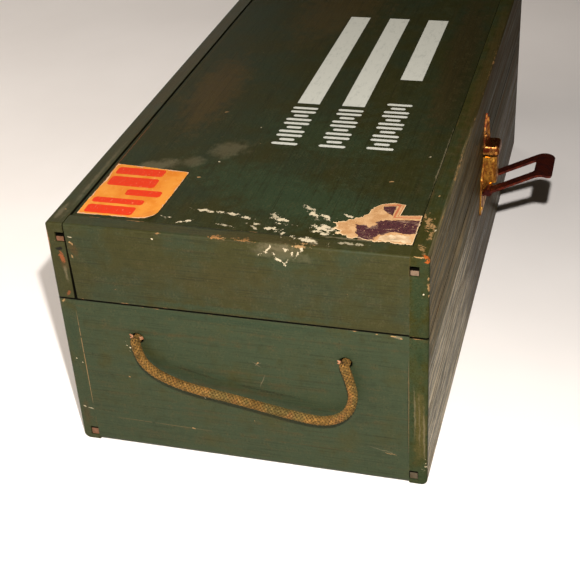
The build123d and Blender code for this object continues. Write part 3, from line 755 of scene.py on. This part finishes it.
# Colours of the panels' tongue ends that show in the corner notches, at the front and the back.
TONGUE_ENDS = {
    "lid_top_panel": ((0.135, 0.088, 0.056), (0.135, 0.058, 0.033)),
    "base_bottom_panel": ((0.060, 0.044, 0.026), (0.150, 0.066, 0.036)),
}
LID_GRIME = 0.26         # how much darker the lid's paint is than the base's
PANEL_GRIME = 0.52       # the same for the lid's panel
GREY_BAND_TOP = 63.5     # the front is bleached grey below this height, brightened with painted sheen and bounced light, in mm
SHADE_ABOVE = 110.0       # the lid's bare wood is painted in shade above this height, round its panel, where it shows in the grooves

STROKE_PITCH = 4.4       # painted strokes stand this far apart, in mm
STROKE_R = 1.15
STROKE_HALF = 6.3
STROKE_SHORTER = 2.6     # every third stroke is this much shorter at each end
STROKE_SOFT = 0.12       # half the width of a stroke's soft rim
PANEL_END = 256.0
PANEL_HALF = 5.7
# Each painted row: its y, where its strokes start and end, and where its panel starts, in mm.
STROKE_ROWS = (
    (1.2, 87.0, 131.0, 134.3),
    (-21.6, 87.5, 132.0, 134.3),
    (-44.0, 88.5, 141.0, 170.0),
)


def mark_shape(face, start, end, width):
    """Centre, radii and turn of a long mark on the near end, the top or the front."""
    middle = [(a + b) / 2 for a, b in zip(start, end)]
    half = math.dist(start, end) / 2 + width
    slope = math.atan2(end[1] - start[1], end[0] - start[0])
    if face == "end":
        return (END_FACE, *middle), (MARK_DEPTH, half, width), (slope, 0.0, 0.0)
    if face == "top":
        centre = (middle[0] + END_FACE, middle[1], TOP_FACE)
        return centre, (half, width, MARK_DEPTH), (0.0, 0.0, slope)
    centre = (middle[0] + END_FACE, FRONT_FACE, middle[1])
    return centre, (half, MARK_DEPTH, width), (0.0, -slope, 0.0)


def lettering_stand_in(s, rough_place):
    """Plain strokes and blank panels of white paint on the lid, as 0 to 1."""
    x, y, _ = s.split(rough_place)
    x = x - END_FACE
    made = None
    for row_y, first, last, panel in STROKE_ROWS:
        end = first + round((last - first) / STROKE_PITCH) * STROKE_PITCH
        off_row = (y - row_y).size()
        beat = ((x - first).math("MODULO", STROKE_PITCH) - STROKE_PITCH / 2).size()
        third = ((x - first).math("MODULO", 3 * STROKE_PITCH) - 1.5 * STROKE_PITCH).size()
        half = third.ramp(2.9, 2.7) * -STROKE_SHORTER + (STROKE_HALF - STROKE_R)
        over = (off_row - half).most(0.0)
        away = (beat * beat + over * over).math("SQRT")
        row = away.ramp(STROKE_R + STROKE_SOFT, STROKE_R - STROKE_SOFT)
        row = row * (x - first).ramp(-0.1, 0.1) * (x - end).ramp(0.1, -0.1)
        inside = (x - panel).least(x * -1.0 + PANEL_END).least(off_row * -1.0 + PANEL_HALF)
        row = row.most(inside.ramp(-0.1, 0.15))
        made = row if made is None else made.most(row)
    return made


def mark_covers(s, node, shift, mottle, grit):
    """The share of a board's surface that each kind of mark covers."""
    place = s.wobbled(2.6, 0.8, shift + 3.0)
    chips = s.noise(2.6, 5.0, 0.72, shift + 15.0)
    covers = {}
    for (face, kind), marks in BOARD_MARKS.get(node, {}).items():
        for *ends, width, strength in marks:
            shape = mark_shape(face, ends[:2], ends[2:], width)
            field = s.blot(*shape, s.place if kind == "line" else place)
            if kind in SOFT_MARKS:
                share = (field + (mottle - 0.5) * 1.6).ramp(0.05, 0.75) * strength
            elif kind == "line":
                share = field.ramp(0.05, 0.40) * (mottle.ramp(0.36, 0.48) * strength)
            elif kind in FLAKED_MARKS:
                share = (field * 0.7 + (chips - 0.5) * 3.4).ramp(0.34, 0.50) * strength
            else:
                share = (field + (grit - 0.5) * 1.5).ramp(0.22, 0.42) * strength
            covers[kind] = covers[kind].most(share) if kind in covers else share
    return covers


def painted_board(node, grain):
    """Worn olive paint on a board's outside, bare wood inside; grain is 0, 1 or 2 for its axis."""
    s = Surface(node + "_paint")
    in_lid = node.startswith("lid")
    lid_panel = node == "lid_top_panel"
    long_front = node in LONG_FRONTS
    low, high = (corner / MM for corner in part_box(node))
    shift = 7.0 + 3.0 * len(node)            # gives each board its own noise

    def stretched(across, along, detail, more):
        """Noise drawn out along the grain."""
        sizes = [across] * 3
        sizes[grain] = along
        return s.noise(tuple(sizes), detail, shift=shift + more)

    fibres = stretched(0.5, 26.0, 4.0, 0.0)
    streaks = stretched(2.6, 90.0, 4.0, 2.0)
    clouds = s.noise(24.0, 4.0, 0.6, shift + 4.0)
    mottle = s.noise(4.5, 5.0, 0.68, shift + 6.0)
    grit = s.noise(0.9, 3.0, 0.65, shift + 8.0)
    ragged = s.noise(1.3, 4.0, 0.62, shift + 1.0)
    covers = mark_covers(s, node, shift, mottle, grit)

    # Distances in mm. The first two are 0 on the box's faces and negative inside them, off_joint
    # is from the corner joints, and edge is from the board's nearest edge.
    near_end = s.x.size() - HALF_LENGTH
    outer = near_end.most(s.y.size() - HALF_WIDTH).most(s.z - TOP_FACE).most(s.z * -1.0)
    off_joint = (s.y.size() - JOINT).size()
    a, b, c = ((value - low[axis]).least(value * -1.0 + high[axis])
               for axis, value in enumerate((s.x, s.y, s.z)))
    edge = a.least(b).most(a.most(b).least(c))

    tone = clouds * 0.7 + mottle * 0.3 + BOARD_TONES.get(node, 0.0)
    brown = (streaks * 0.55 + mottle * 0.45).ramp(0.50, 0.70) * 0.6
    coats = [(brown, BROWNED)]
    if long_front:
        # Bleached grey below, brightened with painted sheen and light bounced from the floor; brown
        # above; darkened with painted shade towards the far end; scratched all over, less so in
        # that shade.
        on_face = (s.y - FRONT_FACE).ramp(1.5, 0.8) * near_end.ramp(-1.0, -3.0)
        bleached_and_sheen = s.z.ramp(GREY_BAND_TOP + 0.8, GREY_BAND_TOP - 0.8)
        bands = stretched(1.2, 38.0, 3.0, 19.0).ramp(0.55, 0.44)
        # far is painted shade: the front darkens towards its far end, where less light reaches.
        far = (s.x + clouds * 60.0).ramp(-70.0, 20.0)
        aged = s.layers(s.mix(bleached_and_sheen, FRONT_BROWN, GREYED_AND_SHEEN), (bands * 0.90, FRONT_DARK),
                        (far * 0.90, FAR_SHADE_BROWN))
        scratches = stretched(0.7, 12.0, 3.0, 17.0).ramp(0.57, 0.67)
        scratches = scratches * (bleached_and_sheen * 0.5 + 0.25) * (far * -0.8 + 1.0)
        coats.append((on_face * (streaks.ramp(0.40, 0.56) * 0.60 + 0.38), aged))
        coats.append((on_face * scratches, SCRATCHED))
    if in_lid:
        coats.append((PANEL_GRIME if lid_panel else LID_GRIME, DARK_OLIVE))
    coats += [(covers[kind], colour) for kind, colour in UNDER_MARKS.items() if kind in covers]
    coats += [
        (mottle.ramp(0.46, 0.28) * 0.30, DARK_OLIVE),
        (fibres.ramp(0.52, 0.28) * 0.55, DARK_OLIVE),
        ((grit * 0.6 + mottle * 0.4).ramp(0.50, 0.66) * 0.42, LIGHT_OLIVE),
        (grit.ramp(0.42, 0.26) * 0.6, DARK_OLIVE),
        (s.dots(8.0, 0.30, shift) * mottle.ramp(0.50, 0.60) * 0.8, TAN),
        (s.dots(3.1, 0.20, shift + 20.0) * clouds.ramp(0.45, 0.60) * 0.8, GRIME_AND_SHADE),
    ]

    reach = s.noise(13.0, 3.0, 0.6, shift + 5.0).ramp(0.52, 0.80) * 1.1
    clear_of_joint = off_joint.ramp(0.8, 1.6) * 0.9 + 0.1
    wear = (reach + (ragged - 0.5) * 0.9 - edge).ramp(0.0, 0.2) * clear_of_joint
    timber = s.mix(fibres.ramp(0.35, 0.65), BARE, TAN)
    timber = s.mix(mottle.ramp(0.48, 0.62) * 0.7, timber, BARE_DARK)
    coats.append((wear * 0.85, timber))
    coats += [(covers[kind], colour) for kind, colour in OVER_MARKS.items() if kind in covers]
    cover = s.layers(s.mix(tone.ramp(0.38, 0.60), OLIVE, BLUE_GREEN), *coats)

    raised = wear
    if lid_panel:
        strokes = lettering_stand_in(s, s.wobbled(0.9, 0.14, shift + 12.0))
        strokes = strokes * ((grit * 0.5 + mottle * 0.5).ramp(0.36, 0.30) * -0.8 + 1.0)
        smudge = s.noise((5.0, 2.0, 3.0), 4.0, 0.7, shift + 14.0).ramp(0.50, 0.72)
        cover = s.mix(strokes, cover, s.mix(smudge * 0.5, WHITE_PAINT, WHITE_DIRTY))
        raised = raised - strokes * 0.5

    # Bare wood inside, with painted shade: black within about 7 mm of the ends, where it shows
    # through the corner slits and notches, and high on the lid round its panel, where it shows in
    # the grooves.
    raw = s.layers(s.mix(fibres.ramp(0.3, 0.7), RAW_WOOD, RAW_PALE),
                   (clouds.ramp(0.45, 0.7) * 0.5, RAW_DARK), (near_end.ramp(-9.0, -7.0), GRIME_AND_SHADE))
    if in_lid:
        raw = s.mix(s.z.ramp(SHADE_ABOVE, SHADE_ABOVE + 0.8), raw, GRIME_AND_SHADE)
    # Painted shade, black: on the panels' tongues inside their grooves, and on the seam's and
    # corner joints' faces near the outside, where they show in the narrow gaps.
    if node.endswith("panel"):
        tongue = s.mix(s.y.ramp(-1.0, 1.0), *TONGUE_ENDS[node])
        tongue = s.mix(mottle.ramp(0.40, 0.62) * 0.6, tongue, BROWNED)
        cover = s.mix(near_end.ramp(-0.62, -0.58), cover, tongue)
        gap_shade = near_end.ramp(-8.2, -8.1) * near_end.ramp(-0.52, -0.56)
    elif in_lid:
        seam = s.z.ramp(low[2] + 0.08, low[2] + 0.02)
        joint = off_joint.ramp(1.1, 1.0) * outer.ramp(-0.35, -0.5)
        gap_shade = seam.most(joint) * outer.ramp(-2.6, -2.0)
    else:
        gap_shade = s.z.ramp(high[2] - 0.08, high[2] - 0.02) * outer.ramp(-2.6, -2.0)
    outside = (outer + (ragged - 0.5) * 0.4).ramp(-1.0, -0.8)
    colour = s.layers(raw, (outside, cover), (gap_shade, GRIME_AND_SHADE))

    normal = s.bump(fibres, 0.05, 0.6)
    relief = raised * -1.0 + mottle * 0.25 + grit * 0.15
    normal = s.bump(relief, 0.10, 0.8, Normal=normal)
    rough = mottle * 0.25 + wear * 0.25 + 0.40
    gloss = 0.03 if lid_panel else 0.10
    if long_front:
        normal = s.bump(streaks, 0.30, 0.8, Normal=normal)
        rough = streaks * 0.60 + mottle * 0.20 + (bleached_and_sheen * -0.10 + 0.08)
        gloss = 0.01
    return s.set(Base_Color=colour, Roughness=rough.least(0.9), Normal=normal,
                 Specular_IOR_Level=gloss)


def make_boards():
    """Materials for the eight boards and two panels."""
    along = {"front": 0, "back": 0, "top": 0, "bottom": 0, "left": 1, "right": 1}
    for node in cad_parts:
        parts = node.split("_")
        if parts[-1] in ("board", "rail", "end", "panel"):
            dress(painted_board(node, along[parts[1]]), node)


make_boards()


# ---- metal ----
def metal(name, bright, tarnished, tarnish=0.5, metallic=1.0, rough=0.36):
    """Old sheet metal: bright where it is rubbed, dull and spotted elsewhere."""
    s = Surface(name)
    clouds = s.noise(3.2, 4.0, 0.65, shift=2.0)
    spots = s.noise(0.8, 3.0, 0.6, shift=9.0)
    share = (clouds * 0.8 + spots * 0.2 + (tarnish - 0.5) * 0.5).ramp(0.40, 0.62)
    colour = s.mix(share, bright, tarnished)
    colour = s.mix(spots.ramp(0.66, 0.76) * 0.5, colour, (0.030, 0.014, 0.006))
    scratches = s.noise((0.25, 4.0, 1.2), 3.0, shift=4.0)
    normal = s.bump(scratches, 0.03, 0.5)
    normal = s.bump(clouds, 0.12, 0.6, Normal=normal)
    roughness = (share * 0.28 + scratches * 0.14 + (rough - 0.07)).least(0.95)
    return s.set(Base_Color=colour, Roughness=roughness, Normal=normal, Metallic=metallic)


def make_metals():
    """Finishes for the latch, the hinges and every nail."""
    brass = metal("old_brass", (0.56, 0.275, 0.045), (0.17, 0.048, 0.009), 0.52, rough=0.32)
    catch = metal("reddened_brass", (0.56, 0.245, 0.055), (0.105, 0.018, 0.007), 0.60, rough=0.24)
    loop = metal("dark_brass", (0.130, 0.018, 0.007), (0.040, 0.006, 0.004), 0.54, 0.85, 0.42)
    steel = metal("dull_steel", (0.42, 0.40, 0.37), (0.16, 0.11, 0.08))
    nails = metal("overpainted_nails", (0.10, 0.080, 0.050), (0.035, 0.030, 0.014), 0.55, 0.4, 0.5)
    dress(brass, "latch_base_plate", "latch_cover", "latch_tacks", "left_hinge_base_leaf",
          "left_hinge_lid_leaf", "right_hinge_base_leaf", "right_hinge_lid_leaf",
          "hinge_base_tacks", "hinge_lid_tacks")
    dress(catch, "lid_catch_plate", "lid_catch_tacks")
    dress(loop, "latch_loop", "latch_axle")
    dress(steel, "latch_spring", "left_hinge_pin", "right_hinge_pin")
    dress(nails, "base_frame_nails", "lid_frame_nails")


make_metals()


# ---- paper labels ----
PAPER_GAP = 0.03          # mm between the lid and the paper
PAPER_SHEET = 0.15        # mm
PAPER_MESH = 1.1          # mm between the points inside a label
PRINT, SCUFF, RULE = 1.0, 2.0, 3.0    # what the "print" attribute's numbers mean
# The labels' outlines and prints in mm: x from the near end, and y.
ORANGE = [(10.0, 71.6), (10.3, 60.0), (10.1, 40.6), (11.2, 38.6), (13.4, 37.4), (16.7, 36.9),
          (36.0, 36.2), (53.6, 36.0), (55.2, 54.0), (56.4, 71.5), (40.0, 71.0), (24.0, 71.6)]
BLOCKS = (((11.6, 18.6), (47.4, 69.6)), ((20.6, 25.2), (46.0, 69.6)), ((28.6, 34.0), (41.0, 57.5)),
          ((36.4, 44.8), (46.5, 69.2)), ((47.0, 53.6), (46.4, 69.4)))
CURL_PLACE = (10.4, 38.2)
CURL_REACH, CURL_RISE = 9.0, 0.9
TORN_SIDE = [(20.6, -38.6), (18.4, -41.6), (16.8, -39.6), (14.6, -43.4), (12.8, -41.4),
             (11.4, -46.0), (9.6, -47.5), (10.4, -53.0), (8.9, -58.0), (9.4, -64.0),
             (8.7, -69.0)]
CUT_SIDE = [(9.0, -74.0), (32.4, -74.0), (30.9, -64.9), (40.1, -65.7), (41.2, -60.6),
            (39.2, -55.6)]
TORN_TOP = [(35.2, -52.3), (31.4, -51.9), (27.6, -49.6), (25.0, -46.4), (22.6, -43.2)]
DARK_PATCH = [(20.4, -48.6), (21.3, -53.0), (18.8, -53.9), (22.3, -56.5), (25.4, -57.4),
              (27.2, -63.9), (28.3, -73.9), (17.4, -73.9), (16.0, -70.2), (17.4, -65.5),
              (13.4, -58.6), (9.8, -57.6), (9.6, -51.8), (14.7, -49.9)]
DARK_CORNER = [(37.7, -56.7), (38.4, -62.0), (30.2, -61.9), (32.5, -59.0), (34.6, -57.0)]
CREAM_SCUFF = [(10.0, -59.5), (13.2, -60.2), (15.6, -66.6), (15.0, -71.8), (9.8, -73.6)]
INNER_RULE = [(39.3, -56.6), (40.0, -63.9), (29.3, -63.2), (30.9, -73.9), (30.0, -73.9),
              (28.6, -62.3), (38.9, -62.9), (38.5, -56.8)]
OUTER_RULE = [(40.4, -61.6), (40.0, -65.2), (30.5, -64.4), (32.0, -73.9), (31.7, -73.9),
              (30.1, -64.1), (39.7, -64.8), (40.1, -61.6)]


def ragged_line(points, step, amounts, seed, grain=1.2):
    """A closed outline with points a step apart, pushed by noise of one amount for each side."""
    made = []
    if not isinstance(amounts, list):
        amounts = [amounts] * len(points)
    for (ax, ay), (bx, by), amount in zip(points, points[1:] + points[:1], amounts):
        count = max(1, round(math.dist((ax, ay), (bx, by)) / step))
        for i in range(count):
            t = i / count
            x, y = ax + (bx - ax) * t, ay + (by - ay) * t
            push_x = noise.noise(Vector((x / grain, y / grain, seed)))
            push_y = noise.noise(Vector((x / grain, y / grain, seed + 9.0)))
            made.append((x + amount * push_x, y + amount * push_y))
    return made


def inside(x, y, outline):
    """Whether a point lies in a closed outline."""
    hit = False
    for (ax, ay), (bx, by) in zip(outline, outline[1:] + outline[:1]):
        if (ay > y) != (by > y) and x < ax + (y - ay) * (bx - ax) / (by - ay):
            hit = not hit
    return hit


def rim_distance(x, y, outline):
    """Distance in mm from a point to a closed outline."""
    best = math.inf
    for (ax, ay), (bx, by) in zip(outline, outline[1:] + outline[:1]):
        dx, dy = bx - ax, by - ay
        run = dx * dx + dy * dy
        t = min(1.0, max(0.0, ((x - ax) * dx + (y - ay) * dy) / run)) if run else 0.0
        best = min(best, math.dist((x, y), (ax + dx * t, ay + dy * t)))
    return best


def paper_label(name, outline, prints, lift, material):
    """A thin sheet on the lid; prints are (value, outline), lift gives its rise in mm."""
    points, edges = [], []
    for ring in [outline] + [shape for value, shape in prints]:
        start = len(points)
        points += [Vector(p) for p in ring]
        edges += [(start + i, start + (i + 1) % len(ring)) for i in range(len(ring))]
    xs = [p[0] for p in outline]
    ys = [p[1] for p in outline]
    for i in range(int((max(xs) - min(xs)) / PAPER_MESH) + 1):
        for j in range(int((max(ys) - min(ys)) / PAPER_MESH) + 1):
            x = min(xs) + (i + 0.5 * (j % 2)) * PAPER_MESH
            y = min(ys) + j * PAPER_MESH
            if inside(x, y, outline) and rim_distance(x, y, outline) > 0.5 * PAPER_MESH:
                points.append(Vector((x, y)))
    flat, _, faces, *_ = geometry.delaunay_2d_cdt(points, edges, [], 1, 1e-4)
    verts, rims = [], []
    for layer in (PAPER_SHEET, 0.0):
        for x, y in flat:
            z = TOP_FACE + PAPER_GAP + layer + lift(x, y)
            verts.append(((x + END_FACE) * MM, y * MM, z * MM))
            rims.append(min(2.0, rim_distance(x, y, outline)))
    count = len(flat)
    sheet, values, border = [], [], {}
    for face in faces:
        middle = sum((flat[i] for i in face), Vector((0.0, 0.0))) / len(face)
        value = 0.0
        for shade, shape in prints:
            if inside(middle.x, middle.y, shape):
                value = shade
        sheet.append(tuple(face))
        values.append(value)
        for a, b in zip(face, face[1:] + face[:1]):
            if (b, a) in border:
                del border[(b, a)]
            else:
                border[(a, b)] = True
    upper = len(sheet)
    sheet += [tuple(i + count for i in reversed(face)) for face in sheet[:upper]]
    sheet += [(b, a, a + count, b + count) for a, b in border]
    values += [0.0] * (len(sheet) - upper)
    piece = mesh_piece(name, verts, sheet, material, smooth=False)
    store(piece, "print", "FACE", values)
    store(piece, "rim", "POINT", rims)
    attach(piece, "lid")
    return piece


def orange_material():
    """Orange paper printed in plain red blocks, with pale scuffed edges."""
    s = Surface("orange_print")
    fade = s.noise(9.0, 4.0, 0.6, shift=1.0)
    fine = s.noise(0.8, 3.0, 0.6, shift=5.0)
    red = s.mix(fine.ramp(0.35, 0.7), (0.50, 0.020, 0.002), (0.42, 0.030, 0.005))
    rim = s.attribute("rim") + (fine - 0.5) * 1.4 + (fade - 0.5) * 3.4
    colour = s.layers(
        s.mix(fade.ramp(0.35, 0.65), (0.47, 0.135, 0.009), (0.52, 0.190, 0.022)),
        (s.attribute("print"), red),
        (s.noise((2.4, 0.8, 1.0), 4.0, 0.7, shift=8.0).ramp(0.60, 0.72) * 0.65, (0.60, 0.27, 0.13)),
        (rim.ramp(0.45, 0.05) * 0.7, (0.50, 0.34, 0.22)),
    )
    normal = s.bump(fade * 0.6 + fine * 0.4, 0.12, 0.6)
    return s.set(Base_Color=colour, Roughness=0.55, Normal=normal, Specular_IOR_Level=0.06)


def torn_material():
    """Brown inner layer of torn paper, with dark print and cream scuffs left on it."""
    s = Surface("torn_print")
    fibre = s.noise(0.5, 4.0, 0.65, shift=3.0)
    clouds = s.noise(4.0, 4.0, 0.6, shift=6.0)
    worn = s.noise((1.6, 7.0, 4.0), 4.0, 0.7, shift=11.0)
    kind = s.attribute("print")
    rim = s.attribute("rim") + (fibre - 0.5) * 0.6
    dark = s.mix(fibre.ramp(0.40, 0.62), (0.020, 0.0045, 0.006), (0.066, 0.018, 0.018))
    dark = s.mix(worn.ramp(0.56, 0.66) * 0.8, dark, (0.22, 0.130, 0.080))
    cream = s.mix(clouds.ramp(0.40, 0.62), (0.50, 0.36, 0.21), (0.36, 0.23, 0.12))
    cream = s.mix(worn.ramp(0.52, 0.62) * 0.7, cream, (0.13, 0.085, 0.040))
    rule = s.mix(fibre.ramp(0.4, 0.6), (0.26, 0.055, 0.022), (0.36, 0.130, 0.050))
    colour = s.layers(
        s.mix(clouds.ramp(0.38, 0.62), (0.32, 0.160, 0.060), (0.40, 0.225, 0.100)),
        (fibre.ramp(0.55, 0.72) * 0.4, (0.50, 0.32, 0.15)),
        (kind.ramp(PRINT - 0.6, PRINT - 0.4), dark),
        (kind.ramp(SCUFF - 0.6, SCUFF - 0.4), cream),
        (kind.ramp(RULE - 0.6, RULE - 0.4), rule),
        (s.noise(1.1, 4.0, 0.7, shift=9.0).ramp(0.60, 0.68) * 0.8, (0.50, 0.30, 0.14)),
        (rim.ramp(0.35, 0.10) * 0.6, (0.62, 0.45, 0.26)),
    )
    normal = s.bump(fibre * 0.6 + clouds * 0.4, 0.14, 0.8)
    return s.set(Base_Color=colour, Roughness=0.8, Normal=normal, Specular_IOR_Level=0.15)


def cut_block(x, y, corner):
    """A rectangle's outline with cut corners, in mm, from its two limits in x and in y."""
    xs = (x[0] + corner, x[1] - corner, x[1], x[1])
    ys = (y[0], y[0], y[0] + corner, y[1] - corner)
    return list(zip((*xs, *(x[0] + x[1] - v for v in xs)), (*ys, *(y[0] + y[1] - v for v in ys))))


def curled(x, y):
    """The orange label's near corner on the side towards the latch has come unstuck."""
    away = math.dist((x, y), CURL_PLACE)
    return CURL_RISE * max(0.0, 1.0 - away / CURL_REACH) ** 2


def waved(x, y):
    """Slight waves in the torn paper."""
    return 0.08 * (1.0 + noise.noise(Vector((x / 6.0, y / 6.0, 2.0))))


def make_labels():
    """The orange label near the hinge side and the torn one near the front."""
    blocks = [(PRINT, ragged_line(cut_block(x, y, 1.0), 1.0, 0.16, x[0])) for x, y in BLOCKS]
    ring = ragged_line(ORANGE, 0.7, 0.28, 3.0)
    label = paper_label("orange_paper_label", ring, blocks, curled, orange_material())
    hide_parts("orange_label")

    amounts = [1.3] * len(TORN_SIDE) + [0.10] * len(CUT_SIDE) + [1.1] * len(TORN_TOP)
    ring = ragged_line(TORN_SIDE + CUT_SIDE + TORN_TOP, 0.5, amounts, 4.0)
    prints = [
        (PRINT, ragged_line(DARK_PATCH, 0.5, 1.2, 7.0)),
        (PRINT, ragged_line(DARK_CORNER, 0.6, 0.30, 8.0)),
        (SCUFF, ragged_line(CREAM_SCUFF, 0.6, 1.0, 9.0)),
        (RULE, ragged_line(INNER_RULE, 0.9, 0.08, 5.0)),
        (RULE, ragged_line(OUTER_RULE, 0.9, 0.05, 6.0)),
    ]
    label = paper_label("torn_paper_label", ring, prints, waved, torn_material())
    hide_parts("torn_label")


make_labels()
